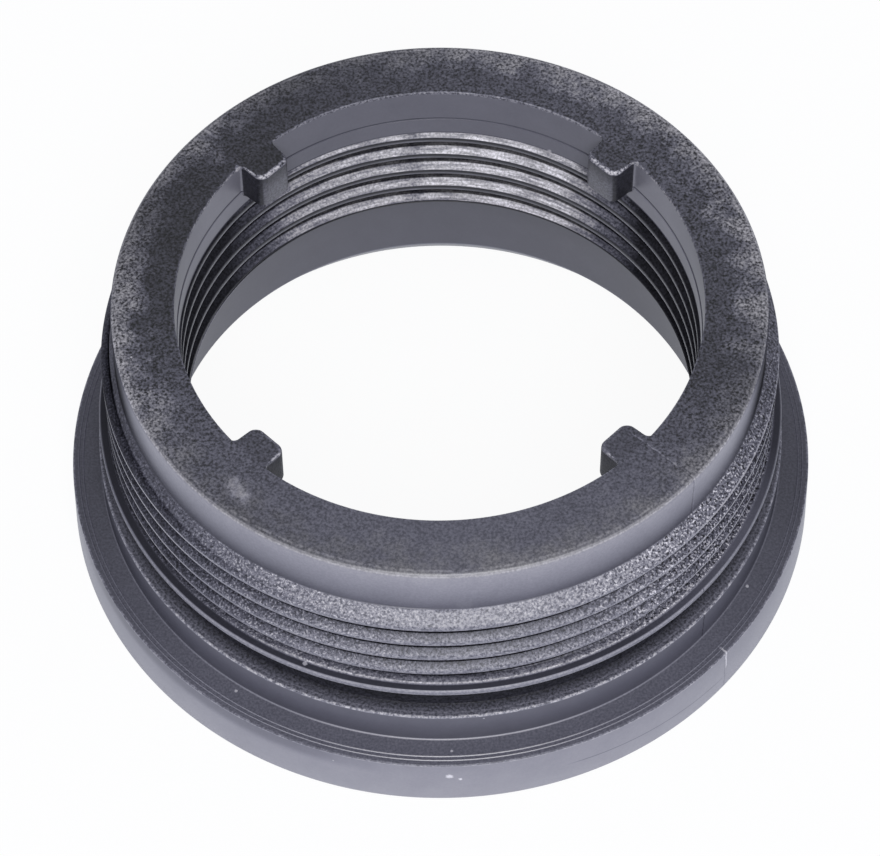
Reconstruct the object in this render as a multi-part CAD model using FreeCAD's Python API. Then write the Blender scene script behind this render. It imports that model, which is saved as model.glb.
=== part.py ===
import FreeCAD, Part
import math
import os

# Threaded adapter ring, moulded in one piece.
# Millimetres, +Z up, origin on the axis in the plane of the flange's underside.
# The ring is a collar on a flange. A right-hand pipe thread runs round the collar, a smaller one
# runs round the inside of the bore, and four lugs stand into the mouth of the bore at the top.
# Both threads have their true section here, and their turns are closed rings at the heights that
# the ridges have at the front of the collar and at the back of the bore.
# A height is measured up from the underside of the flange, a depth down from the top face.

total_height = 27.80

# Pipe thread, 11 turns to the inch, and the ridges' flat tops
thread_pitch = 2.309
thread_crest_width = 0.50

# Outside thread, for a 2 inch fitting: it ends on the bead
outer_major_radius = 29.60
outer_minor_radius = 28.35
outer_thread_top_depth = 4.95
outer_chamfer_height = 0.80
outer_first_groove_depth = 7.12
outer_groove_count = 4

# Collar: smooth neck above the thread, bead and seal groove below it
neck_radius = 28.20
top_edge_round = 0.60
bead_radius = 30.30
bead_top_height = 13.20
bead_bottom_height = 12.45
bead_edge_bevel = 0.18
seal_groove_radius = 29.20

# Shoulder and flange
shoulder_radius = 30.60
shoulder_height = 9.10
shoulder_edge_bevel = 0.20
flange_radius = 33.45
flange_height = 5.45
flange_wall_draft = 0.20

# Bore: smooth mouth, inside thread for a 1 1/2 inch fitting, counterbore, chamfer at its foot
mouth_radius = 22.80
mouth_depth = 5.25
inner_minor_radius = 22.45
inner_major_radius = 23.90
inner_first_groove_depth = 7.60
inner_groove_count = 4
inner_thread_end_depth = 15.30
counterbore_radius = 24.90
counterbore_end_height = 2.70
foot_chamfer_width = 1.80

# Lugs in the mouth of the bore
lug_count = 4
lug_first_angle = 45.3
lug_tip_radius = 20.10
lug_width = 3.50
lug_height = 3.95
lug_drop = 0.15
lug_corner_round = 0.70
lug_edge_bevel = 0.45
lug_root_round = 0.50

# How far a lug's blank reaches past the surface that it meets
reach = 1.00

UP = FreeCAD.Vector(0, 0, 1)
CENTRE = FreeCAD.Vector(0, 0, 0)


def down(depth):
    """Height of a place that lies at a depth below the top face."""
    return total_height - depth


def turned(points):
    """Solid of revolution of a closed (radius, height) outline."""
    corners = [FreeCAD.Vector(radius, 0, height) for radius, height in points]
    return Part.Face(Part.makePolygon(corners + corners[:1])).revolve(CENTRE, UP, 360)


def groove_points(crest_radius, floor_radius, middle_depth):
    """One thread groove from its upper edge to its lower edge, as (radius, height)."""
    mouth_half = (thread_pitch - thread_crest_width) / 2
    return [
        (crest_radius, down(middle_depth - mouth_half)),
        (floor_radius, down(middle_depth)),
        (crest_radius, down(middle_depth + mouth_half)),
    ]


def thread_points(crest_radius, floor_radius, first_depth, groove_count, end_height):
    """All grooves of a thread from the top down, the last one cut off at the end height."""
    points = []
    for index in range(groove_count):
        points += groove_points(crest_radius, floor_radius, first_depth + index * thread_pitch)
    lower_edge = points.pop()
    floor = points[-1]
    share = (floor[1] - end_height) / (floor[1] - lower_edge[1])
    return points + [(floor[0] + share * (lower_edge[0] - floor[0]), end_height)]


def collar_points():
    """Outline of the outside from the top face down to the underside.

    The round on the top edge is drawn as two bevels that meet on its arc.
    """
    arc_inset = top_edge_round * (1 - math.sqrt(0.5))
    thread = thread_points(
        outer_major_radius, outer_minor_radius, outer_first_groove_depth, outer_groove_count,
        bead_top_height)
    above = [
        (neck_radius - top_edge_round, total_height),
        (neck_radius - arc_inset, total_height - arc_inset),
        (neck_radius, total_height - top_edge_round),
        (neck_radius, down(outer_thread_top_depth)),
        (outer_major_radius, down(outer_thread_top_depth + outer_chamfer_height)),
    ]
    below = [
        (bead_radius - bead_edge_bevel, bead_top_height),
        (bead_radius, bead_top_height - bead_edge_bevel),
        (bead_radius, bead_bottom_height + bead_edge_bevel),
        (bead_radius - bead_edge_bevel, bead_bottom_height),
        (seal_groove_radius, bead_bottom_height),
        (seal_groove_radius, shoulder_height),
        (shoulder_radius - shoulder_edge_bevel, shoulder_height),
        (shoulder_radius, shoulder_height - shoulder_edge_bevel),
        (shoulder_radius, flange_height),
        (flange_radius - flange_wall_draft, flange_height),
        (flange_radius, 0),
    ]
    return above + thread + below


def bore_points():
    """Outline of the inside from the top face down to the underside."""
    thread_end = down(inner_thread_end_depth)
    above = [
        (mouth_radius, total_height),
        (mouth_radius, down(mouth_depth)),
        (inner_minor_radius, down(mouth_depth)),
    ]
    thread = thread_points(
        inner_minor_radius, inner_major_radius, inner_first_groove_depth, inner_groove_count,
        thread_end)
    below = [
        (counterbore_radius, thread_end),
        (counterbore_radius, counterbore_end_height),
        (counterbore_radius + foot_chamfer_width, 0),
    ]
    return above + thread + below


def lug_outline():
    """Plan of one lug on the +X side, with hollow rounds at its root."""
    half = lug_width / 2
    tip = lug_tip_radius - reach
    flare = half + lug_root_round
    root = math.sqrt(mouth_radius ** 2 - flare ** 2)
    bend = lug_root_round * math.sqrt(0.5)
    back = mouth_radius + reach

    def place(x, y):
        return FreeCAD.Vector(x, y, 0)

    edges = [Part.makeLine(place(back, -flare), place(back, flare))]
    for side in (1, -1):
        hollow = Part.Arc(
            place(root, side * flare),
            place(root - lug_root_round + bend, side * (flare - bend)),
            place(root - lug_root_round, side * half))
        edges.append(Part.makeLine(place(back, side * flare), place(root, side * flare)))
        edges.append(hollow.toShape())
        edges.append(Part.makeLine(place(root - lug_root_round, side * half), place(tip, side * half)))
    edges.append(Part.makeLine(place(tip, -half), place(tip, half)))
    return Part.Face(Part.Wire(Part.__sortEdges__(edges)))


def is_tip_corner(edge):
    """Whether an edge stands upright at a corner of the lug's tip."""
    box = edge.BoundBox
    upright = isinstance(edge.Curve, Part.Line) and box.ZLength > lug_height / 2
    return upright and abs(math.hypot(box.Center.x, box.Center.y) - lug_tip_radius) < 1e-3


def lugs():
    """The lugs: their plan drawn upright, kept between the tip circle and the wall."""
    low = down(lug_drop + lug_height)
    high = down(lug_drop)
    back = mouth_radius + reach
    belt = turned([
        (lug_tip_radius, low),
        (back, low),
        (back, high),
        (lug_tip_radius + lug_edge_bevel, high),
        (lug_tip_radius, high - lug_edge_bevel),
    ])
    plan = lug_outline()
    plan.translate(FreeCAD.Vector(0, 0, low - reach))
    one = plan.extrude(UP * (lug_height + 2 * reach)).common(belt)
    one = one.makeFillet(lug_corner_round, [edge for edge in one.Edges if is_tip_corner(edge)])
    copies = []
    for index in range(lug_count):
        placed = one.copy()
        placed.rotate(CENTRE, UP, lug_first_angle + index * 360 / lug_count)
        copies.append(placed)
    return copies


def adapter_ring():
    """The ring as turned, and the lugs in its mouth."""
    return turned(collar_points() + bore_points()[::-1]).fuse(lugs())


ring = adapter_ring()
box = ring.BoundBox
print("adapter_ring: valid", ring.isValid(), "solids", len(ring.Solids), "faces", len(ring.Faces))
print("size", round(box.XLength, 3), round(box.YLength, 3), round(box.ZLength, 3))
print("volume", round(ring.Volume / 1000, 3), "cubic centimetres")
os.makedirs("parts", exist_ok=True)
ring.exportStep("parts/adapter_ring.step")
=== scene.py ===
# %% [markdown]
# # A moulded threaded adapter
# The object is one ring of charcoal plastic, 67 mm across, made in one shot in a steel mould. A
# collar with an outside pipe thread stands on a round flange, a smaller thread runs inside the
# bore, and four lugs stand into its mouth. This script dresses the plain solid of the ring with
# its real threads, its small rounds and the finish of the plastic, with light and shade painted
# into much of its colour.
# The solid comes in as a fixed frame, so every size below is in its coordinates: the axis is Z,
# and the flange stands on the floor at height 0. Sizes are written in millimetres. Some of them,
# such as the crest radius and the bead's heights, differ from the solid's by up to 0.28 mm.

# %% Load the frame
import math
import bmesh
import bpy
from mathutils import Matrix, Vector


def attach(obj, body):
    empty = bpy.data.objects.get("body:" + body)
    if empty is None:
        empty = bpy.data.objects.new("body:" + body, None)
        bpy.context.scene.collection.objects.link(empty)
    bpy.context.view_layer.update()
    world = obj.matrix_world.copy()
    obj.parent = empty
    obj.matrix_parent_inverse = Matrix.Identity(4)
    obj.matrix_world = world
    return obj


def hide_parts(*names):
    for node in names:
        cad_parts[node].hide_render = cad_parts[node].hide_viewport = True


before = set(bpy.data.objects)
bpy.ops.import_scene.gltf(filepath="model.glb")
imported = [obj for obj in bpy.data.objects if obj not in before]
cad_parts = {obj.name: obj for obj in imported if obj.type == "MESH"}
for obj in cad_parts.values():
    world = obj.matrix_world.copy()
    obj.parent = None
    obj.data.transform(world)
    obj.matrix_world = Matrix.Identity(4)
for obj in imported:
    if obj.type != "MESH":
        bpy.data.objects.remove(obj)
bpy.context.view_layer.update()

# %% [markdown]
# ## Sums that become nodes
# A node tree is easier to read as a sum than as a heap of nodes. `Value` wraps one socket, and a
# sum on it adds the Math node for it. `Bench` is the tree that is being built, and its one method
# puts down any other node: its kind, its settings, then what goes into its sockets.

# %% One small class for sums
class Value:
    """One output socket of a node. Sums on it add Math nodes to its tree."""

    def __init__(self, bench, socket):
        self.bench = bench
        self.socket = socket

    def out(self, name):
        return Value(self.bench, self.socket.node.outputs[name])

    def math(self, operation, *others):
        terms = dict(enumerate((self,) + others))
        return self.bench.put("ShaderNodeMath", {"operation": operation}, terms)

    def __add__(self, other):
        return self.math("ADD", other)

    def __sub__(self, other):
        return self.math("SUBTRACT", other)

    def __rsub__(self, other):
        return self.math("MULTIPLY", -1.0) + other

    def __mul__(self, other):
        return self.math("MULTIPLY", other)

    def __truediv__(self, other):
        return self.math("DIVIDE", other)

    def __abs__(self):
        return self.math("ABSOLUTE")

    __radd__ = __add__
    __rmul__ = __mul__


class Bench:
    """A node tree, and the one way to put a node into it."""

    def __init__(self, tree):
        self.tree = tree

    def put(self, kind, settings=None, values=None, output=0):
        node = self.tree.nodes.new(kind)
        for name, setting in (settings or {}).items():
            if name == "stops":
                lay_stops(node.color_ramp, setting)
            else:
                setattr(node, name, setting)
        for key, value in (values or {}).items():
            if isinstance(value, Value):
                self.tree.links.new(value.socket, node.inputs[key])
            else:
                node.inputs[key].default_value = value
        return Value(self, node.outputs[output]) if node.outputs else None


def lay_stops(ramp, stops):
    """Fill a ramp with (place, grey level) stops."""
    while len(ramp.elements) > 1:
        ramp.elements.remove(ramp.elements[-1])
    for index, (place, level) in enumerate(stops):
        stop = ramp.elements[0] if index == 0 else ramp.elements.new(place)
        stop.position = place
        stop.color = (level, level, level, 1)


# %% [markdown]
# ## The section of the ring
# A turned shape is fully told by its section: the line that runs from the mouth over the top edge,
# down the outside and back up the bore. It is written as corners with the size of the round on
# each, because no edge of a moulding is truly sharp, and small rounds are what catch the light.

# %% Rounded corners
def rounded(corners, pieces=4):
    """Points along a line through (across, up, round) corners, each corner eased by its round."""
    points = [Vector(corners[0][:2])]
    for before, here, after in zip(corners, corners[1:], corners[2:]):
        corner = Vector(here[:2])
        back = (Vector(before[:2]) - corner).normalized()
        on = (Vector(after[:2]) - corner).normalized()
        if here[2] == 0:
            points.append(corner)
            continue
        half = back.angle(on) / 2
        middle = corner + (back + on).normalized() * here[2] / math.sin(half)
        first = (corner + back * here[2] / math.tan(half) - middle).normalized()
        last = (corner + on * here[2] / math.tan(half) - middle).normalized()
        for step in range(pieces + 1):
            points.append(middle + first.slerp(last, step / pieces) * here[2])
    return points + [Vector(corners[-1][:2])]


# %% Sizes of the collar, the flange and the bore
height = 27.80
neck_radius = 28.20
outside_thread_high = height - 4.95
outside_thread_low = 13.10
outside_crest_radius = 29.47
outside_root_radius = 28.25
outside_chamfer_height = 1.00
land_radius = 29.56
bead_radius = 30.30
bead_high = 12.96
bead_low = 12.24
seal_groove_radius = 29.20
shoulder_radius = 30.60
shoulder_high = 9.10
flange_high = 5.45
flange_top_radius = 33.25
flange_radius = 33.45
hair_circle_radii = (32.31, 32.70)
hair_circle_rise = 0.05
foot_radius = 26.70
counterbore_radius = 24.90
counterbore_low = 2.70
counterbore_high = 12.36
bore_land_radius = 22.38
bore_thread_low = 12.50
bore_thread_high = height - 5.52
bore_crest = 22.45
bore_root = 23.90
mouth_step_high = height - 3.70
mouth_low_radius = 22.62
mouth_radius = 22.70
first_lug_angle = 45.3

over_the_top = rounded([
    (bore_crest, bore_thread_high, 0), (mouth_low_radius, bore_thread_high, 0.04),
    (mouth_low_radius, mouth_step_high, 0.03), (mouth_radius, mouth_step_high, 0.03),
    (mouth_radius, height, 0.10), (neck_radius, height, 0.60),
    (neck_radius, outside_thread_high, 0)], pieces=5)
hair_circles = [
    (radius + aside, flange_high + rise, 0) for radius in hair_circle_radii
    for aside, rise in ((-0.07, 0), (0, hair_circle_rise), (0.07, 0))]
# The first and last corner only say where the line comes from and goes to, and are left out later.
down_the_outside = rounded([
    (28.60, outside_thread_low, 0), (land_radius, outside_thread_low, 0.04),
    (land_radius, bead_high, 0.03), (bead_radius, bead_high, 0.18), (bead_radius, bead_low, 0.18),
    (seal_groove_radius, bead_low, 0.08), (seal_groove_radius, shoulder_high, 0.12),
    (shoulder_radius, shoulder_high, 0.20), (shoulder_radius, flange_high, 0.12)] + hair_circles + [
    (flange_top_radius, flange_high, 0.15), (flange_radius, 0, 0.20), (foot_radius, 0, 0.10),
    (counterbore_radius, counterbore_low, 0.10), (counterbore_radius, counterbore_high, 0.08),
    (bore_land_radius, counterbore_high, 0.03), (bore_land_radius, bore_thread_low, 0.03),
    (23.50, bore_thread_low, 0)])
print("points in the turned parts of the section:", len(over_the_top) + len(down_the_outside))

# %% [markdown]
# ## Rows that follow the thread
# A thread rises by its pitch in one turn, so it can't be turned like the rest. The trick is to let
# the rows of the mesh rise with it: a row that starts on a crest stays on it all the way round, and
# crests come out clean with few faces. Above and below the thread, rows are held at its end
# heights, where they fall together and are merged. The rows start one pitch too low, because that
# is how far they rise by the end of the turn.

# %% Rows of one thread
pitch = 2.309
crest_width = 0.50
row_offsets = [
    -1.04, -0.86, -0.60, -0.34, -0.26, -0.18, 0, 0.18, 0.26, 0.34, 0.60, 0.86, 1.04, pitch / 2]


def thread_rows(low, high, crest_height):
    """Heights of a thread's rows at the start of the turn, from the lowest up."""
    rows = {low - pitch, high}
    first = math.floor((low - pitch - crest_height) / pitch)
    for turn in range(first, first + 12):
        rows.update(crest_height + turn * pitch + offset for offset in row_offsets)
    return sorted(row for row in rows if low - pitch <= row <= high)


outside_crest_height = height - 6.24 - 0.75 * pitch
bore_crest_height = height - 6.45 - 0.25 * pitch
outside_rows = thread_rows(outside_thread_low, outside_thread_high, outside_crest_height)
bore_rows = thread_rows(bore_thread_low, bore_thread_high, bore_crest_height)
print("rows on the outside thread:", len(outside_rows), "and in the bore:", len(bore_rows))

# %% The section as a line of points
PLAIN, OUTSIDE, BORE = 0, 1, 2
section = [(point.x, point.y, PLAIN) for point in over_the_top[1:]]
section += [(0, row, OUTSIDE) for row in reversed(outside_rows)]
section += [(point.x, point.y, PLAIN) for point in down_the_outside[1:-1]]
section += [(0, row, BORE) for row in bore_rows]
section.append(section[0])

section_mesh = bpy.data.meshes.new("ring_section")
section_mesh.from_pydata([(radius, 0, up) for radius, up, thread in section], [], [])
kinds = section_mesh.attributes.new("thread", "FLOAT", "POINT")
kinds.data.foreach_set("value", [float(thread) for radius, up, thread in section])
print("points in the whole section:", len(section))

# %% [markdown]
# ## Turning the section with Geometry Nodes
# A Spin modifier or a lathe in code could turn the plain parts, but not the rising ones. This tree
# lays a grid with one column for each step of the turn and one row for each point of the section.
# It then sends every grid point to its angle, and works out a thread's radius from how far the
# point is from the nearest crest. A thread's profile is a flat crest, a straight flank and a sharp
# root, with the corners eased by the smooth forms of Minimum and Maximum.

# %% The tree's inputs
def new_tree(name, inputs):
    """A geometry tree with named inputs (name, kind, default), and its bench and group input."""
    tree = bpy.data.node_groups.new(name, "GeometryNodeTree")
    tree.interface.new_socket("Geometry", in_out="INPUT", socket_type="NodeSocketGeometry")
    tree.interface.new_socket("Geometry", in_out="OUTPUT", socket_type="NodeSocketGeometry")
    for label, kind, default in inputs:
        socket = tree.interface.new_socket(label, in_out="INPUT", socket_type="NodeSocket" + kind)
        socket.default_value = default
    bench = Bench(tree)
    return bench, bench.put("NodeGroupInput")


def thread_radius(bench, up, rise, crest, root, crest_height, given):
    """Radius of a thread at a height, from the distance to the nearest crest."""
    half_pitch = given.out("Pitch") * 0.5
    half_crest = given.out("Crest width") * 0.5
    offset = abs((up - crest_height - rise).math("WRAP", half_pitch, half_pitch * -1))
    share = (offset - half_crest) / (half_pitch - half_crest)
    share = share.math("SMOOTH_MAX", 0.0, 0.10).math("SMOOTH_MIN", 1.0, 0.12)
    return crest + (root - crest) * share


# %% The turning tree
ring_bench, given = new_tree("Ring with rising threads", [
    ("Columns", "Int", 360), ("Pitch", "Float", 2.3), ("Crest width", "Float", 0.5),
    ("Outside crest", "Float", 29.8), ("Outside root", "Float", 28.3),
    ("Outside crest height", "Float", 20.0), ("Outside low", "Float", 13.0),
    ("Outside high", "Float", 22.0), ("Neck radius", "Float", 28.0),
    ("Chamfer height", "Float", 1.0), ("Bore crest", "Float", 22.4), ("Bore root", "Float", 23.9),
    ("Bore crest height", "Float", 20.0), ("Bore low", "Float", 12.0), ("Bore high", "Float", 22.0)])
put = ring_bench.put
points = put("GeometryNodeAttributeDomainSize", {}, {0: given}, "Point Count")
grid = put("GeometryNodeMeshGrid", {}, {
    "Size X": 1.0, "Size Y": 1.0, "Vertices X": given.out("Columns") + 1, "Vertices Y": points}, "Mesh")
number = put("GeometryNodeInputIndex")
column = (number / points).math("FLOOR")
row = number - column * points
place = put("GeometryNodeSampleIndex", {"data_type": "FLOAT_VECTOR"}, {
    "Geometry": given, "Value": put("GeometryNodeInputPosition"), "Index": row})
kind = put("GeometryNodeSampleIndex", {"data_type": "FLOAT"}, {
    "Geometry": given, "Index": row,
    "Value": put("GeometryNodeInputNamedAttribute", {"data_type": "FLOAT"}, {"Name": "thread"},
                 "Attribute")})
corner = put("ShaderNodeSeparateXYZ", {}, {0: place})
on_outside = kind.math("COMPARE", OUTSIDE, 0.1)
on_bore = kind.math("COMPARE", BORE, 0.1)

turn = column / given.out("Columns")
rise = turn * given.out("Pitch")
up_outside = (corner.out("Z") + rise).math("MINIMUM", given.out("Outside high"))
up_outside = up_outside.math("MAXIMUM", given.out("Outside low"))
up_bore = (corner.out("Z") + rise).math("MINIMUM", given.out("Bore high"))
up_bore = up_bore.math("MAXIMUM", given.out("Bore low"))
outside = thread_radius(ring_bench, up_outside, rise, given.out("Outside crest"),
                        given.out("Outside root"), given.out("Outside crest height"), given)
cone = (given.out("Outside crest") - given.out("Neck radius")) / given.out("Chamfer height")
cone = given.out("Neck radius") + (given.out("Outside high") - up_outside) * cone
outside = outside.math("SMOOTH_MIN", cone, 0.10)
bore = thread_radius(ring_bench, up_bore, rise, given.out("Bore crest"),
                     given.out("Bore root"), given.out("Bore crest height"), given)

plain = 1 - on_outside - on_bore
radius = corner.out("X") * plain + outside * on_outside + bore * on_bore
up = corner.out("Z") * plain + up_outside * on_outside + up_bore * on_bore
angle = turn * (2 * math.pi)
spot = put("ShaderNodeCombineXYZ", {}, {
    "X": radius * angle.math("COSINE"), "Y": radius * angle.math("SINE"), "Z": up})
spot = put("ShaderNodeVectorMath", {"operation": "SCALE"}, {0: spot, "Scale": 0.001})
moved = put("GeometryNodeSetPosition", {}, {"Geometry": grid, "Position": spot})
merged = put("GeometryNodeMergeByDistance", {}, {"Geometry": moved, "Distance": 2e-6})
realized = put("GeometryNodeRealizeInstances", {}, {"Geometry": merged})
finished = put("GeometryNodeSetMaterial", {}, {"Geometry": realized})
put("NodeGroupOutput", {}, {"Geometry": finished})
ring_tree = ring_bench.tree
print("nodes in the turning tree:", len(ring_tree.nodes))

# %% Run a tree and keep the plain mesh
plastic = bpy.data.materials.new("charcoal_plastic_moulded")


def made_by_tree(name, mesh, tree, values):
    """A plain mesh object from a starting mesh and a tree with its inputs set."""
    for node in tree.nodes:
        if node.bl_idname == "GeometryNodeSetMaterial":
            node.inputs["Material"].default_value = plastic
    starter = bpy.data.objects.new(name + "_starter", mesh)
    bpy.context.scene.collection.objects.link(starter)
    modifier = starter.modifiers.new("tree", "NODES")
    modifier.node_group = tree
    for item in tree.interface.items_tree:
        if item.item_type == "SOCKET" and item.in_out == "INPUT" and item.name in values:
            modifier[item.identifier] = values[item.name]
    bpy.context.view_layer.update()
    seen = starter.evaluated_get(bpy.context.evaluated_depsgraph_get())
    result = bpy.data.objects.new(name, bpy.data.meshes.new_from_object(seen))
    starter.modifiers.remove(modifier)
    bpy.data.objects.remove(starter)
    bpy.context.scene.collection.objects.link(result)
    return result


adapter = made_by_tree("moulded_adapter", section_mesh, ring_tree, {
    "Columns": 320, "Pitch": pitch, "Crest width": crest_width,
    "Outside crest": outside_crest_radius, "Outside root": outside_root_radius,
    "Outside crest height": outside_crest_height,
    "Outside low": outside_thread_low, "Outside high": outside_thread_high,
    "Neck radius": neck_radius, "Chamfer height": outside_chamfer_height,
    "Bore crest": bore_crest, "Bore root": bore_root, "Bore crest height": bore_crest_height,
    "Bore low": bore_thread_low, "Bore high": bore_thread_high})
print("ring:", len(adapter.data.vertices), "points,", len(adapter.data.polygons), "faces")

# %% [markdown]
# ## The four lugs
# The lugs stop whatever screws into the bore. Each is a small block with round corners, grown out
# of the wall with a hollow at each side. One lug is drawn in plan and stacked in rings of points:
# a small round below, straight sides, and a round on top that grows larger towards the tip. Close
# to the wall the rounds shrink to almost nothing, so that the lug meets it cleanly. A second tree
# sets copies of it round the mouth.

# %% One lug
lug_top = height - 0.02
lug_bottom = height - 4.22
lug_tip_radius = 20.06
lug_half_width = 1.78
lug_root_half_width = 2.45
lug_corner_round = 0.85
lug_root_round = 0.50
lug_plan = rounded([
    (24.00, -lug_root_half_width, 0), (22.66, -lug_root_half_width, 0),
    (22.72, -lug_half_width, lug_root_round), (lug_tip_radius, -lug_half_width, lug_corner_round),
    (lug_tip_radius, lug_half_width, lug_corner_round), (22.72, lug_half_width, lug_root_round),
    (22.66, lug_root_half_width, 0), (24.00, lug_root_half_width, 0)], pieces=8)


def inward(points):
    """Unit directions that point into a closed outline that runs clockwise."""
    directions = []
    for index, point in enumerate(points):
        along = points[(index + 1) % len(points)] - points[index - 1]
        directions.append(Vector((along.y, -along.x)).normalized())
    return directions


def lug_mesh():
    """One lug on the +X side: stacked outlines, closed above and below."""
    into = inward(lug_plan)
    form = bmesh.new()
    loops = []
    steps = 6

    def add_loop(height_of, inset_of):
        loop = []
        for p, d in zip(lug_plan, into):
            tipward = min(max((21.30 - p.x) / 1.0, 0), 1)
            free = min(max((22.40 - p.x) / 0.5, 0.1), 1)
            size = (0.20 + 0.26 * tipward) * free
            inset = inset_of(size)
            loop.append(form.verts.new((p.x + d.x * inset, p.y + d.y * inset, height_of(size))))
        loops.append(loop)

    add_loop(lambda size: lug_bottom, lambda size: size * 0.8)
    add_loop(lambda size: lug_bottom + size * 0.24, lambda size: size * 0.24)
    add_loop(lambda size: lug_bottom + size * 0.8, lambda size: 0)
    for step in range(steps + 1):
        quarter = math.pi / 2 * step / steps
        add_loop(lambda size: lug_top - size * (1 - math.sin(quarter)),
                 lambda size: size * (1 - math.cos(quarter)))
    count = len(lug_plan)
    for lower, upper in zip(loops, loops[1:]):
        for index in range(count):
            after = (index + 1) % count
            form.faces.new((lower[index], lower[after], upper[after], upper[index]))
    form.faces.new(list(reversed(loops[0])))
    form.faces.new(loops[-1])
    bmesh.ops.scale(form, vec=(0.001, 0.001, 0.001), verts=form.verts)
    bmesh.ops.recalc_face_normals(form, faces=form.faces)
    mesh = bpy.data.meshes.new("lug")
    form.to_mesh(mesh)
    form.free()
    return mesh


# %% The tree that sets the lugs round the mouth
lug_bench, given = new_tree("Lugs round the mouth", [
    ("Count", "Int", 4), ("First angle", "Float", 0.0)])
put = lug_bench.put
turns = put("GeometryNodeInputIndex") / given.out("Count") * (2 * math.pi) + given.out("First angle")
rotation = put("ShaderNodeCombineXYZ", {}, {"Z": turns})
centres = put("GeometryNodePoints", {}, {"Count": given.out("Count")})
copies = put("GeometryNodeInstanceOnPoints", {}, {
    "Points": centres, "Instance": given,
    "Rotation": put("FunctionNodeEulerToRotation", {}, {0: rotation})})
realized = put("GeometryNodeRealizeInstances", {}, {"Geometry": copies})
finished = put("GeometryNodeSetMaterial", {}, {"Geometry": realized})
put("NodeGroupOutput", {}, {"Geometry": finished})
lugs = made_by_tree("lugs", lug_mesh(), lug_bench.tree, {
    "Count": 4, "First angle": math.radians(first_lug_angle)})
print("lugs:", len(lugs.data.polygons), "faces")

# %% [markdown]
# ## One closed moulding
# The real part is one piece of plastic, so lugs and ring are welded with a Boolean union. The mesh
# is then shaded smooth, with hard edges only where two faces meet at more than 35 degrees.

# %% Weld the lugs on
def outward(mesh):
    """Turn all faces outwards, and count the edges that don't close."""
    form = bmesh.new()
    form.from_mesh(mesh)
    bmesh.ops.recalc_face_normals(form, faces=form.faces)
    open_edges = sum(1 for edge in form.edges if not edge.is_manifold)
    form.to_mesh(mesh)
    form.free()
    return open_edges


print("open edges of the ring:", outward(adapter.data), "and of the lugs:", outward(lugs.data))
union = adapter.modifiers.new("weld", "BOOLEAN")
union.operation = "UNION"
union.solver = "EXACT"
union.object = lugs
bpy.context.view_layer.update()
seen = adapter.evaluated_get(bpy.context.evaluated_depsgraph_get())
welded = bpy.data.meshes.new_from_object(seen)
adapter.modifiers.remove(union)
adapter.data = welded
bpy.data.objects.remove(lugs)
print("open edges once welded:", outward(adapter.data))
adapter.data.shade_smooth()
adapter.data.set_sharp_from_angle(angle=math.radians(35))
adapter.data.materials.clear()
adapter.data.materials.append(plastic)
adapter.data.calc_loop_triangles()
print("triangles:", len(adapter.data.loop_triangles))

# %% [markdown]
# ## Where on the ring a point is
# The finish changes from zone to zone, as the steel of the mould did. Each zone is a band of
# heights or radii, so the material first works out the radius, the height and the bearing of the
# point that is being shaded. The bearing runs from 0 at the front, towards the right and round.
# The slope is the upward part of the face's direction, which tells the flank of a thread that faces
# up from the one that faces down.

# %% Radius, height, bearing and slope
plastic.use_nodes = True
plastic.node_tree.nodes.clear()
paint = Bench(plastic.node_tree)
put = paint.put
object_place = put("ShaderNodeTexCoord", output="Object")
place = put("ShaderNodeVectorMath", {"operation": "SCALE"}, {0: object_place, "Scale": 1000.0})
xyz = put("ShaderNodeSeparateXYZ", {}, {0: place})
x, y, z = xyz.out("X"), xyz.out("Y"), xyz.out("Z")
reach = (x * x + y * y).math("SQRT")
bearing = (y.math("ARCTAN2", x) * (180 / math.pi) + 90).math("WRAP", 360.0, 0.0)
rise = (bearing - 90) * (pitch / 360)
normal = put("ShaderNodeSeparateXYZ", {}, {0: put("ShaderNodeNewGeometry", output="True Normal")})
slope = normal.out("Z")
facing_front = normal.out("Y") * -1


def above(value, level, soft=0.06):
    """1 where the value is above a level, 0 below it, eased over a small width."""
    return put("ShaderNodeMapRange", {"interpolation_type": "SMOOTHSTEP"}, {
        "Value": value, "From Min": level - soft, "From Max": level + soft}, "Result")


def between(value, low, high, soft=0.06):
    return above(value, low, soft) * (1 - above(value, high, soft))


def held(value):
    """The value, kept between 0 and 1."""
    return value.math("MAXIMUM", 0.0).math("MINIMUM", 1.0)


def noise(scale, detail=2.0, roughness=0.5, vector=place):
    """Cloudy noise from 0 to 1, its scale in lumps to the millimetre."""
    return put("ShaderNodeTexNoise", {}, {
        "Vector": vector, "Scale": scale, "Detail": detail, "Roughness": roughness}, 0)


def around(stops):
    """A level that changes with the bearing, from (bearing, level) stops."""
    stops = [(degrees / 360, level) for degrees, level in stops]
    return put("ShaderNodeValToRGB", {"stops": stops}, {"Fac": bearing / 360}, "Color")


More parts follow.
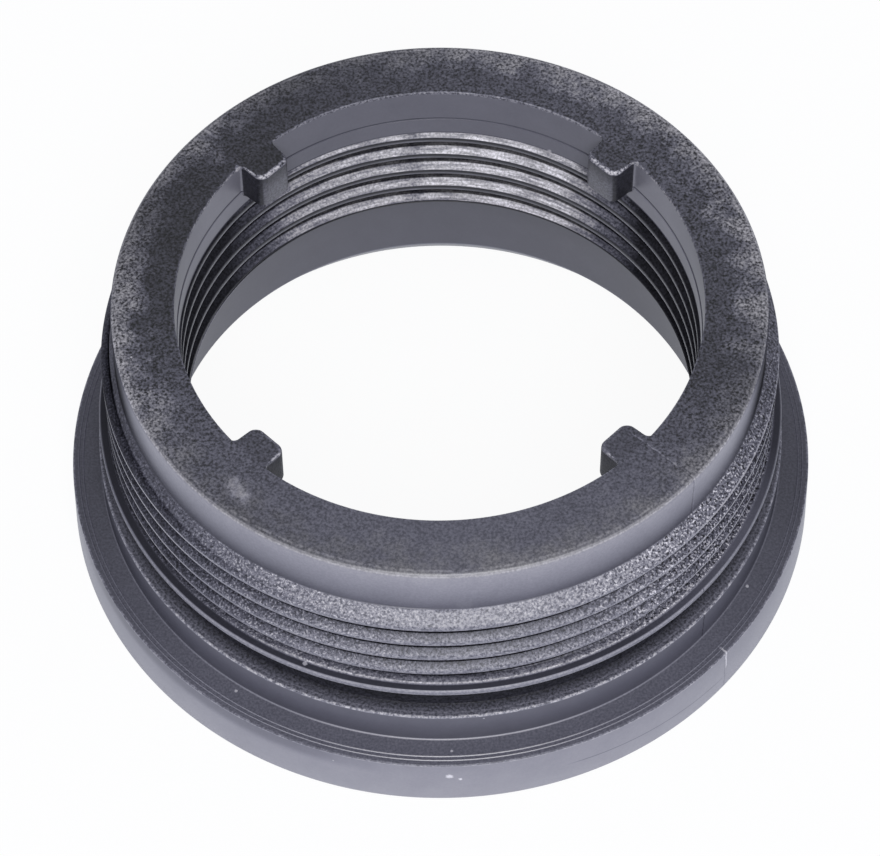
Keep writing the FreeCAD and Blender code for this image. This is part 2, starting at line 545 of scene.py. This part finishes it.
# %% Zones of the moulding
outer_side = above(reach, 27.2, 0.1)
lug_aside = abs((bearing - first_lug_angle).math("WRAP", 45.0, -45.0)) * (math.pi / 180) * reach
lug_gap = above(lug_aside, lug_root_half_width, 0.12)
lug = (1 - above(reach, 22.57, 0.02)) * between(z, lug_bottom - 0.05, height - 0.36, 0.08)
top_face = above(z, height - 0.30, 0.10)
neck = outer_side * between(z, outside_thread_high - 0.05, height - 0.25, 0.08)
outside_thread = outer_side * between(z, outside_thread_low - 0.10, outside_thread_high - 0.06, 0.05)
bore_thread = (1 - above(reach, 24.3)) * between(z, counterbore_high + 0.02, bore_thread_high, 0.02)
bore_thread = bore_thread * (1 - lug)
bead_top = between(reach, land_radius + 0.02, bead_radius - 0.16, 0.05)
bead_top = bead_top * between(z, bead_high - 0.11, bead_high + 0.04, 0.03)
bead_wall = above(reach, bead_radius - 0.14, 0.04) * between(z, bead_low - 0.02, bead_high - 0.02, 0.05)
seal_groove = between(reach, seal_groove_radius - 0.10, seal_groove_radius + 0.10, 0.02)
seal_groove = seal_groove * between(z, shoulder_high - 0.12, bead_low - 0.04, 0.04)
shoulder_face = above(reach, seal_groove_radius + 0.10, 0.02)
shoulder_face = shoulder_face * between(z, shoulder_high - 0.12, shoulder_high + 0.06, 0.03)
shoulder_wall = above(reach, shoulder_radius - 0.10, 0.03)
shoulder_wall = shoulder_wall * between(z, flange_high + 0.05, shoulder_high - 0.10, 0.05)
flange_face = above(reach, shoulder_radius + 0.03, 0.03)
flange_face = flange_face * between(z, flange_high - 0.15, flange_high + 0.07, 0.03)
flange_wall = above(reach, flange_top_radius - 0.08, 0.03) * (1 - above(z, flange_high - 0.09, 0.04))
mouth_wall = (1 - above(reach, mouth_radius + 0.25, 0.05))
mouth_wall = mouth_wall * between(z, bore_thread_high, height - 0.06, 0.04) * (1 - lug)
counterbore = between(reach, counterbore_radius - 0.5, foot_radius - 0.1)
counterbore = counterbore * (1 - above(z, counterbore_high - 0.02, 0.02))

# %% [markdown]
# ## Grain, wear, marks and painted light
# Up-facing and threaded zones carry the grain of spark-eroded steel. The walls are smoother and
# paler, the paleness being painted sheen, and the seal groove is painted dark, as painted shade
# under the bead. The rim of the top face is rubbed pale where the ring was handled. Edges show as
# thin pale lines that break up here and there: painted highlights on their small rounds.
# Not all of it is the plastic's own look. Most tones also change with the bearing, and that is the
# photo's light painted into the colour. The outside is bright at the front and dark from about 50
# to 115 degrees to each side, darkest near 80, where the walls turn away from the camera. Its back
# is given the tones of the front, because the photo doesn't show it. Everything here is noise and
# bands on the object's own coordinates.

# %% Grain, and how the painted light falls off with the bearing
fine_noise = noise(4.4, 2.0, 0.62)
grain = above(fine_noise, 0.5, 0.24)
clouds = noise(0.33, 3.0, 0.65)
broken = above(noise(1.1, 3.0, 0.7), 0.48, 0.12)
# Painted light: front_light is bright at the front and falls off where the walls turn away from the
# lamp, darkest near 80 degrees each side; painted_light_ahead is bright only close to straight ahead.
front_light = around([
    (0, 1.0), (45, 0.9), (66, 0.55), (82, 0.25), (95, 0.35), (118, 1.0), (242, 1.0), (265, 0.35),
    (278, 0.25), (298, 0.55), (320, 0.9), (360, 1.0)])
painted_light_ahead = around([
    (0, 1.0), (14, 0.85), (28, 0.40), (50, 0.16), (80, 0.08), (280, 0.08), (310, 0.16), (332, 0.40),
    (346, 0.85), (360, 1.0)])

# %% Top face, darker inside and rubbed towards the rim
# calm and rubbed both change with the bearing: calm as painted light, darker to the sides and the back,
# rubbed as wear and painted light together.
calm = around([
    (0, 0.098), (36, 0.088), (58, 0.060), (72, 0.036), (108, 0.048), (150, 0.060), (180, 0.050),
    (216, 0.030), (252, 0.020), (274, 0.028), (302, 0.064), (331, 0.088), (360, 0.098)])
rubbed = around([
    (0, 0.125), (50, 0.115), (70, 0.075), (90, 0.190), (130, 0.180), (150, 0.225), (173, 0.190),
    (190, 0.100), (210, 0.060), (230, 0.130), (250, 0.060), (270, 0.170), (290, 0.220), (310, 0.085),
    (331, 0.082), (360, 0.125)])
scratches = noise(1.5, 4.0, 0.75)
rim_share = above(reach + (clouds - 0.5) * 9.0 + (scratches - 0.5) * 4.0, 26.6, 2.3)
top_tone = (calm + (rubbed - calm) * rim_share) * (1 - (1 - above(reach, 22.6, 0.3)) * 0.25)
top_grain = around([
    (0, 0.30), (40, 0.45), (65, 0.95), (110, 1.0), (150, 0.80), (200, 0.80), (235, 1.0), (290, 1.0),
    (325, 0.50), (360, 0.30)])

# %% [markdown]
# ### The threads
# A groove is darkest just under the crest above it and grows paler down to the next crest. Much of
# that is shade in the photo, and it is painted here by how far out in the groove a point is. To the
# sides each crest has a thin pale line, a painted highlight. The line is painted on the crest's
# lower part, because the photo's crests lie a little lower there than these do.

# %% The outside thread, painted shade under each crest and a painted highlight on it
outside_share = held((reach - outside_root_radius) / 1.20)
upper_side = above(slope, -0.12, 0.10)
cone = above(z, outside_thread_high - 0.95, 0.08)
# Painted shade: painted_shade_under_crest marks the upper flank just under each crest, which is made
# black in the matt shader further down.
painted_shade_under_crest = (1 - above(outside_share, 0.46, 0.05)) * (1 - cone)
flank_light = around([
    (0, 1.0), (22, 1.0), (34, 0.90), (50, 0.42), (62, 0.25), (80, 0.12), (96, 0.25), (118, 1.0),
    (242, 1.0), (264, 0.25), (280, 0.06), (294, 0.10), (310, 0.20), (325, 0.50),
    (338, 0.90), (360, 1.0)])
# Painted glints: bright specks on the thread, strongest to each side of the front.
painted_glint_weight = around([
    (0, 0.15), (22, 0.35), (36, 0.9), (55, 1.0), (70, 0.5), (90, 0.15), (275, 0.10), (310, 0.20),
    (330, 0.70), (346, 0.55), (360, 0.15)])
outside_turn = (z - outside_crest_height - rise).math("WRAP", pitch / 2, -pitch / 2)
# The pale line on the crests is a painted highlight, strongest to the sides; crest_seen sets how much
# of it shows and crest_light how pale it is.
crest_seen = around([
    (0, 0.35), (28, 0.45), (52, 1.0), (305, 1.0), (335, 0.60), (360, 0.35)])
outside_crest = above(reach, 29.34, 0.04) * between(outside_turn, -0.36, 0.06, 0.05)
outside_crest = outside_crest * (1 - cone) * crest_seen
crest_light = around([
    (0, 0.21), (34, 0.23), (50, 0.33), (80, 0.34), (110, 0.21), (250, 0.21), (282, 0.40), (300, 0.40),
    (320, 0.27), (345, 0.21), (360, 0.21)])
painted_glints = above(noise(5.6, 1.0), 0.58, 0.05) * painted_glint_weight
# Painted shade and light: each flank is painted paler from the dark under its crest out to the next
# crest, and darker where flank_light falls off to the sides.
flank_rise = held((outside_share - 0.36) / 0.64)
outside_tone = (0.012 + held(flank_rise + cone) * 0.168) * flank_light + 0.012 + cone * 0.028
outside_tone = outside_tone + painted_glints * 0.30 * held(outside_share + cone)
outside_tone = outside_tone * (1 - outside_crest) + outside_crest * crest_light

# %% The bore's thread, with painted highlight streaks where it faces the light
# Painted shade in the bore: black just under each crest, and flanks that grow paler towards the crest.
bore_share = held((bore_root - reach) / 1.42)
bore_painted_shade = 1 - above(bore_share, 0.55, 0.05)
bore_crest_face = 1 - above(reach, 22.50, 0.03)
bore_turn = (z - bore_crest_height - rise).math("WRAP", pitch / 2, -pitch / 2)
# Painted highlights: a pale line on each crest, and streaks on the flanks where they face the light;
# bore_light is the painted light, which falls off with the bearing.
bore_crest_highlight = between(bore_turn, -0.30, -0.02, 0.04)
bore_light = around([
    (0, 0.6), (60, 0.6), (84, 0.1), (94, 0.0), (128, 0.0), (141, 0.25),
    (149, 0.95), (165, 1.0), (182, 0.85), (185.6, 0.40), (189, 0.75), (205, 0.75), (216, 0.50),
    (224, 0.12), (236, 0.0), (266, 0.0), (276, 0.1), (300, 0.6), (360, 0.6)])
streak_place = put("ShaderNodeCombineXYZ", {}, {"X": bearing * 0.16, "Y": reach * 3.0, "Z": z * 5.5})
highlight_streak = above(noise(1.0, 3.0, 0.65, streak_place), 0.5, 0.18)
bore_flank = 0.014 + bore_light * (0.16 + highlight_streak * 0.50 + bore_share * 0.12)
bore_rim = 0.02 + bore_crest_highlight * (0.17 - bore_light * 0.10)
bore_tone = bore_flank * (1 - bore_crest_face) + bore_crest_face * bore_rim * (0.7 + highlight_streak * 0.6)
bore_land = between(z, counterbore_high, bore_thread_low + 0.02, 0.02)

# %% [markdown]
# ### One tone for each zone
# The tone is a sum of zones, each times its own grey, and many of those greys carry painted light
# and shade. Whatever no zone names, such as the underside, takes one plain dark grey. The grain then
# varies the tone, each zone by its own amount.

# %% Tone of every zone
# The neck is painted light: paler upwards, with a painted highlight straight ahead, and dark where
# neck_light falls off to the sides.
neck_rise = held((z - outside_thread_high) / 4.6)
neck_light = around([
    (0, 1.0), (60, 1.0), (66, 0.75), (73, 0.25), (80, 0.10), (95, 0.25), (118, 1.0),
    (242, 1.0), (265, 0.25), (280, 0.10), (287, 0.25), (294, 0.75), (302, 1.0), (360, 1.0)])
neck_tone = (0.050 + painted_light_ahead * 0.055 + neck_rise * (0.205 - painted_light_ahead * 0.035)) * neck_light
# The mouth's wall is painted paler at the back, where it faces the lamp: painted light.
mouth_tone = around([
    (0, 0.12), (95, 0.11), (118, 0.215), (132, 0.205), (139, 0.130), (221, 0.130), (228, 0.200),
    (242, 0.205), (265, 0.10), (360, 0.12)])
# Dark lines just above the mouth's small step and at the top of the bore thread, fainter where the
# bore's painted light is strong.
mouth_line = between(z, mouth_step_high + 0.02, mouth_step_high + 0.16, 0.04)
mouth_line = mouth_line + between(z, bore_thread_high - 0.02, bore_thread_high + 0.07, 0.04)
mouth_line = mouth_wall * mouth_line * (0.9 - bore_light * 0.45)
# The lug's tip is painted paler, most of all low down, where it faces the lamp: painted light.
tip = 1 - above(reach, 20.32, 0.08)
lug_tone = 0.030 + tip * (0.010 + (1 - above(z, 26.3, 1.0)) * 0.070)
# The bead's top ledge is painted dark, as shade under the thread, and paler to the right of the front,
# where light reaches it.
ledge_tone = around([
    (0, 0.034), (32, 0.034), (46, 0.065), (62, 0.090), (80, 0.030), (280, 0.020), (360, 0.034)])
# The shoulder face is painted dark next to the seal groove and paler outwards: the bead's painted
# shadow. front_light dims it away from the front as painted light.
shoulder_rise = held((reach - 29.2) / 1.2)
# Both walls are painted bright at the front by front_light. The flange wall gets darker towards the
# top, most of all at a patch high on the left front. The shoulder wall is painted darker towards its
# foot, as painted shade in the corner with the flange face.
rough_corner = above(z, 3.9, 0.6) * around([
    (0, 0.0), (285, 0.0), (298, 0.42), (338, 0.40), (352, 0.0), (360, 0.0)])
shoulder_wall_tone = (0.022 + front_light * 0.085) * (0.78 + held((z - 5.4) / 2.6) * 0.22)
flange_wall_tone = (0.15 + front_light * 0.105) * (1.14 - z * 0.035 - rough_corner)
# In the sum, the bead's wall and the flange face are painted bright at the front by front_light, and
# the seal groove is painted darker up under the bead, as its shadow.
tone = (top_face * top_tone + neck * neck_tone + outside_thread * outside_tone + bore_thread * bore_tone
        + bead_top * ledge_tone + bead_wall * (0.03 + front_light * 0.17)
        + seal_groove * (0.012 + held((10.6 - z) / 1.5) * 0.014)
        + shoulder_face * (0.030 + shoulder_rise * 0.088) * (0.35 + front_light * 0.65)
        + shoulder_wall * shoulder_wall_tone + flange_face * (0.040 + front_light * 0.064)
        + flange_wall * flange_wall_tone + mouth_wall * mouth_tone + counterbore * 0.088
        + lug * lug_tone)
named = (top_face + neck + outside_thread + bore_thread + bead_top + bead_wall + seal_groove
         + shoulder_face + shoulder_wall + flange_face + flange_wall + mouth_wall + counterbore + lug)
tone = tone + (1 - held(named)) * 0.040
thread_grain = around([
    (0, 0.58), (22, 0.62), (42, 0.95), (75, 0.90), (280, 0.45), (318, 0.60), (342, 0.62), (360, 0.58)])
grain_amount = (top_face * top_grain + outside_thread * thread_grain * (1 - outside_crest * 0.9)
                + bore_thread * (0.55 - bore_crest_face * 0.3 - bore_light * 0.25)
                + seal_groove * 0.55 + shoulder_face * 0.62 + flange_face * 0.22 + bead_wall * 0.25
                + lug * 0.40 + neck * 0.05 + 0.03)
tone = tone * (1 + (grain - 0.5) * 2.3 * grain_amount) * (1 + (clouds - 0.5) * 0.30)


# %% [markdown]
# ### Edges, parting lines and marks
# Each edge line is a painted highlight on a small round: a circle with a width. The two parting
# lines run down the ring where the halves of the mould met, and a crack and a small step lie beside
# the right one. Chips, specks and the scuff are ragged blotches at the places where the photo shows
# them.

# %% Painted highlights on the edges
def edge_line(radius, up, width):
    """1 on the circle of a turned edge, 0 a width away from it."""
    across = reach - radius
    upward = z - up
    return 1 - above((across * across + upward * upward).math("SQRT"), width, width * 0.5)


# Each pale line below is a painted highlight, most of them brighter at the front, where the lamp
# catches the rounds, and broken up along some edges.
edges = edge_line(neck_radius - 0.18, height - 0.18, 0.13) * 0.13
edges = edges + edge_line(neck_radius - 0.56, height - 0.02, 0.10) * broken * 0.08
edges = edges * (0.2 + front_light * 0.8)
mouth_edge = edge_line(mouth_radius, height, 0.09) * (0.4 + broken * 0.6) * (0.6 + grain * 0.4) * 0.20
edges = edges + mouth_edge * lug_gap * (0.3 + bore_light * 0.7)
land_light = around([
    (0, 1.0), (42, 1.0), (56, 0.35), (80, 0.1), (118, 0.8), (242, 0.8), (270, 0.0), (280, 0.0),
    (320, 0.05), (338, 1.0), (360, 1.0)])
land_edge = edge_line(land_radius, outside_thread_low - 0.05, 0.12) * 0.22
edges = edges + land_edge * (0.5 + grain) * land_light
bead_edges = edge_line(bead_radius - 0.02, bead_high - 0.08, 0.11) * 0.08
bead_edges = bead_edges + edge_line(bead_radius - 0.02, bead_low + 0.08, 0.11) * 0.06
edges = edges + bead_edges * front_light
rough_edge = edge_line(shoulder_radius - 0.05, shoulder_high - 0.04, 0.14) * (0.3 + broken * 0.7)
rough_edge = rough_edge * (0.3 + grain) * 0.26 + edge_line(30.05, shoulder_high, 0.06) * 0.04
edges = edges + rough_edge * (0.25 + front_light * 0.75)
foot_edge = edge_line(shoulder_radius + 0.06, flange_high + 0.02, 0.08)
edges = edges + foot_edge * 0.24 * (0.06 + painted_light_ahead * 0.94)
circle_high = flange_high + hair_circle_rise
circle_lines = edge_line(hair_circle_radii[0], circle_high, 0.08)
circle_lines = circle_lines + edge_line(hair_circle_radii[1], circle_high, 0.07)
edges = edges + circle_lines * 0.24 * painted_light_ahead
flange_edge = edge_line(flange_top_radius - 0.05, flange_high - 0.05, 0.12) * broken
edges = edges + flange_edge * (0.3 + grain) * 0.12 * (1 - painted_light_ahead * 0.6)
edges = edges + edge_line(counterbore_radius, counterbore_low + 0.02, 0.10) * 0.10
edges = edges + edge_line(flange_radius - 0.03, 0.05, 0.15) * 0.05
# The lug edges that face the front get a painted highlight.
lug_edge = (1 - above(reach, 22.2, 0.1)) * between(slope, 0.25, 0.93, 0.05)
lug_edge = lug_edge * above(z, height - 0.55, 0.05)
edges = edges + lug_edge * above(facing_front, 0.18, 0.10) * broken * (0.2 + grain) * 0.20

# %% Parting line of the mould's two halves
def parting(bearing_of_line, width):
    """A thin upright line down one side of the ring."""
    turn = math.radians(bearing_of_line - 90)
    off = x * -math.sin(turn) + y * math.cos(turn)
    ahead = above(x * math.cos(turn) + y * math.sin(turn), 0.0, 0.5)
    return (1 - above(abs(off + (scratches - 0.5) * 0.45), width, width * 0.6)) * ahead


seam = parting(48.0, 0.06) * (
    top_face * 0.3 + neck * 0.7 + shoulder_wall + bead_wall + flange_wall * 0.5)
pale_seam = parting(48.3, 0.07) * broken * (top_face * 0.10 + neck * 0.05)
pale_seam = pale_seam + parting(228.0, 0.12) * above(reach, 26.6, 0.6) * top_face * 0.12
crack = parting(48.2, 0.10) * above(reach, 32.6, 0.3) * between(z, 3.1, 5.7, 0.4)
step_height = 1.75 + (48.0 - bearing) * 0.029
wall_step = between(z, step_height - 0.05, step_height + 0.05, 0.05) * flange_wall
wall_step = wall_step * between(bearing, 20.0, 47.5, 2.0)

# %% Chips and specks
def spot(bearing_of_spot, radius, up, size):
    """A small ragged blotch at one place on the ring."""
    turn = math.radians(bearing_of_spot - 90)
    centre = (radius * math.cos(turn), radius * math.sin(turn), up)
    away = put("ShaderNodeVectorMath", {"operation": "DISTANCE"}, {0: place, 1: centre}, "Value")
    return 1 - above(away + (scratches - 0.5) * size * 2.4, size * 0.8, size * 0.3)


chips = spot(1.0, 33.38, 3.75, 0.34) + spot(2.6, 33.38, 3.25, 0.22)
chips = chips + spot(-42.0, 25.5, height, 0.75) * 0.24 + spot(-40.2, 25.9, height, 0.85) * 0.26
chips = chips + spot(-38.4, 26.1, height, 0.65) * 0.22
for degrees, radius, up, size in [
        (1.4, 31.8, 5.45, 0.13), (-34.8, 31.3, 5.45, 0.14), (-16.4, 33.35, 4.2, 0.12),
        (6.6, 30.60, 8.6, 0.12), (60.3, 31.0, 5.45, 0.15), (-76.9, 26.8, height, 0.13),
        (-23.0, 29.8, 13.0, 0.20), (153.9, 22.62, 22.35, 0.22), (231.1, 22.60, 27.6, 0.34),
        (129.6, 22.60, 27.6, 0.34)]:
    chips = chips + spot(degrees, radius, up, size) * 0.7

# %% [markdown]
# ### Colour and gloss
# The plastic is a bluish grey, less blue where it is pale. A matt shader takes over from the glossy
# one in grooves, seams and the parts that turn away from the photo's light, and under each crest it
# is darkened to near black as painted shade.

# %% Colour
tone = tone + edges + crack * 0.35 + chips * 0.42 + pale_seam
tone = tone * (1 - seam * 0.55) * (1 - wall_step * 0.6) * (1 - mouth_line * 0.85)
warmth = held(rim_share * top_face * 0.6 + (tone - 0.05) * 3.2)
tint = put("ShaderNodeMix", {"data_type": "RGBA"}, {
    "Factor": warmth, 6: (0.935, 0.935, 1.260, 1), 7: (0.985, 0.962, 1.050, 1)}, 2)
grey = put("ShaderNodeCombineXYZ", {}, {"X": tone, "Y": tone, "Z": tone})
colour = put("ShaderNodeVectorMath", {"operation": "MULTIPLY"}, {0: tint, 1: grey})

# %% Where the gloss is lost
dim_flank = outside_thread * (1 - outside_crest) * (1 - flank_light) * (0.75 - cone * 0.35)
dim_wall = neck * (1 - neck_light) + shoulder_wall * (1 - front_light) * 0.5
dim_bore = bore_thread * (1 - bore_crest_face) * (1 - bore_light) * 0.80
# Painted shade: hollow marks the upper flank just under each crest of both threads, save the last
# outside groove and the bore's land; dark turns it nearly black in the matt shader.
last_groove = (1 - above(z, 13.75, 0.15)) * between(bearing, 34.0, 120.0, 6.0)
hollow = outside_thread * painted_shade_under_crest * upper_side * (1 - last_groove)
hollow = hollow + bore_thread * bore_painted_shade * upper_side * (1 - bore_land)
low_flank = outside_thread * (1 - flank_rise) * (1 - cone) * 0.5
dull = held(hollow + low_flank + dim_flank + dim_bore + dim_wall + mouth_line * 0.8 + bead_top * 0.7
            + seal_groove * 0.7 + lug * (1 - tip) * 0.45 + seam * 0.4)
dark = held(hollow)

# %% The plastic itself
bump = put("ShaderNodeBump", {}, {
    "Strength": held(grain_amount), "Distance": 0.001, "Height": fine_noise * 0.06})
roughness = 0.36 + grain_amount * 0.16
surface = put("ShaderNodeBsdfPrincipled", {}, {
    "Base Color": colour, "Roughness": roughness, "IOR": 1.55, "Normal": bump})
shaded = put("ShaderNodeVectorMath", {"operation": "SCALE"}, {0: colour, "Scale": 1 - dark * 0.88})
matt = put("ShaderNodeBsdfDiffuse", {}, {"Color": shaded, "Normal": bump})
finish = put("ShaderNodeMixShader", {}, {0: dull, 1: surface, 2: matt})
put("ShaderNodeOutputMaterial", {}, {"Surface": finish})
print("nodes in the plastic:", len(plastic.node_tree.nodes))

# %% Tie the piece to the frame
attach(adapter, "root")
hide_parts("adapter_ring")

# %% [markdown]
# ## Floor, lamps and camera
# The ring was photographed on clean white, so the floor is white to the camera and keeps a faint
# shadow. One large soft lamp stands above the camera, and a pale room lights the rest.

# %% Floor
floor_form = bmesh.new()
bmesh.ops.create_grid(floor_form, x_segments=1, y_segments=1, size=1.5)
floor_mesh = bpy.data.meshes.new("floor")
floor_form.to_mesh(floor_mesh)
floor_form.free()
floor = bpy.data.objects.new("floor", floor_mesh)
floor.location = (0, 0, -0.0001)
bpy.context.scene.collection.objects.link(floor)
paper = bpy.data.materials.new("white_floor")
paper.use_nodes = True
paper.node_tree.nodes.clear()
sheet = Bench(paper.node_tree)
put = sheet.put
ray = put("ShaderNodeLightPath", {}, {}, "Is Camera Ray")
seen_white = ray + ray.out("Is Glossy Ray") + ray.out("Is Transmission Ray")
seen_white = seen_white.math("MINIMUM", 1.0)
card = put("ShaderNodeBsdfDiffuse", {}, {"Color": (0.90, 0.92, 0.99, 1)})
glow_colour = put("ShaderNodeMix", {"data_type": "RGBA"}, {
    "Factor": ray, 6: (0.91, 0.93, 1.0, 1), 7: (1.0, 1.0, 1.0, 1)}, 2)
glow = put("ShaderNodeEmission", {}, {"Color": glow_colour, "Strength": 1.0})
blend = put("ShaderNodeMixShader", {}, {0: seen_white * 0.94, 1: card, 2: glow})
put("ShaderNodeOutputMaterial", {}, {"Surface": blend})
floor_mesh.materials.append(paper)

# %% World
world = bpy.data.worlds.new("studio")
bpy.context.scene.world = world
world.use_nodes = True
world.node_tree.nodes.clear()
air = Bench(world.node_tree)
put = air.put
ray = put("ShaderNodeLightPath", {}, {}, "Is Camera Ray")
room = put("ShaderNodeBackground", {}, {"Color": (0.91, 0.93, 1.0, 1), "Strength": 0.50})
white = put("ShaderNodeBackground", {}, {"Color": (1, 1, 1, 1), "Strength": 1.0})
both = put("ShaderNodeMixShader", {}, {0: ray, 1: room, 2: white})
put("ShaderNodeOutputWorld", {}, {"Surface": both})


# %% Lamp
def lamp(name, spot, target, size, power):
    """A square soft lamp at a spot, aimed at a target, all in millimetres."""
    light = bpy.data.lights.new(name, "AREA")
    light.shape = "SQUARE"
    light.size = size / 1000
    light.energy = power
    fixture = bpy.data.objects.new(name, light)
    spot, target = Vector(spot) / 1000, Vector(target) / 1000
    aim = (spot - target).to_track_quat("Z", "Y").to_matrix().to_4x4()
    fixture.matrix_world = Matrix.Translation(spot) @ aim
    bpy.context.scene.collection.objects.link(fixture)
    return fixture


lamp("key_over_camera", (40, -470, 560), (0, 0, 15), 300, 3.4)

# %% Camera
camera_data = bpy.data.cameras.new("camera")
camera_data.lens = 149.35
camera_data.clip_start = 0.01
camera = bpy.data.objects.new("camera", camera_data)
camera.location = (0, -0.185731, 0.278974)
camera.rotation_euler = [math.radians(turn) for turn in (34.4297, 0.2312, -0.3245)]
bpy.context.scene.collection.objects.link(camera)
bpy.context.scene.camera = camera
bpy.context.scene.view_settings.view_transform = "Standard"
